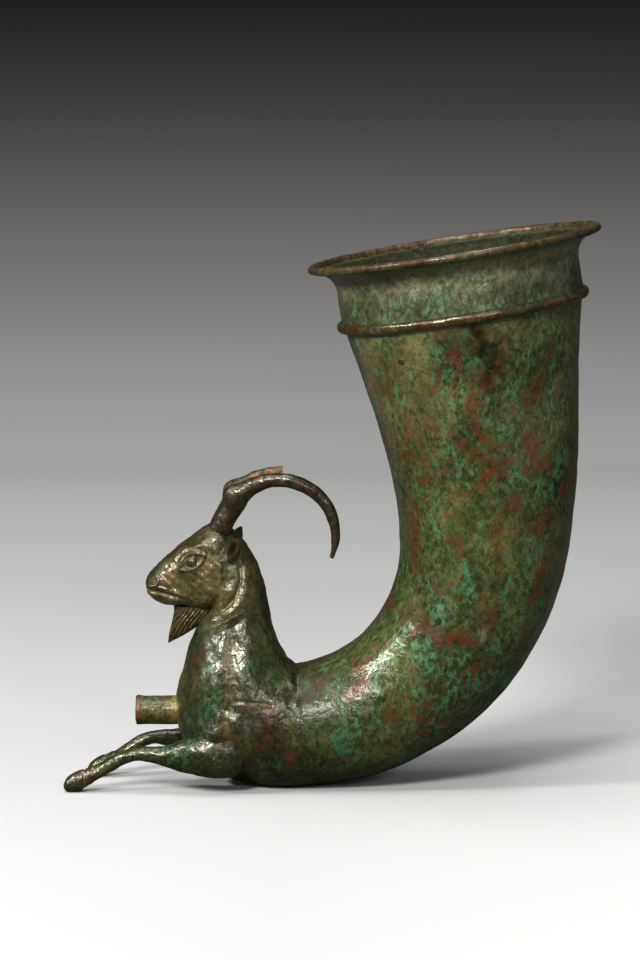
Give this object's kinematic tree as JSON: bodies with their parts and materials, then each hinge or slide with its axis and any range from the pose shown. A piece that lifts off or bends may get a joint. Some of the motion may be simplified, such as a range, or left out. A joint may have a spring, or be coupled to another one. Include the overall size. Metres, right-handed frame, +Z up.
{
  "type": "rhyton drinking cup",
  "caption": "Bronze horn-shaped drinking cup that bends forward into a goat's forequarters, with a pouring spout in the breast.",
  "frame": {"origin": "on the table top, in the middle of the flat worn on the underside, on the plane halfway between the two forelegs", "axes": "+Z up, -X the way the animal faces, +Y towards the animal's right"},
  "size_m": [0.2289, 0.126, 0.243],
  "materials": {
    "pale_patina": "mottled green patina with pale deposits, waxed",
    "red_worn_moulding": "red-brown patina, worn at the edge",
    "green_patina_sheet": "dark olive green patina on beaten sheet, waxed",
    "green_patina_cast": "mottled green patina on cast bronze, waxed",
    "brown_patina_trim": "brown and green patina, waxed",
    "red_broken_trim": "green patina with a bare copper-red break",
    "golden_patina_spout": "golden-brown worn patina"
  },
  "bodies": {
    "root": {"mouth_collar": "pale_patina", "cordon_ring": "red_worn_moulding", "horn_body": "green_patina_sheet", "forequarters": "green_patina_cast", "head": "green_patina_cast", "beard": "brown_patina_trim", "left_horn": "brown_patina_trim", "right_horn": "red_broken_trim", "left_ear": "brown_patina_trim", "right_ear": "brown_patina_trim", "left_foreleg": "green_patina_cast", "right_foreleg": "green_patina_cast", "spout": "golden_patina_spout"}
  },
  "joints": []
}
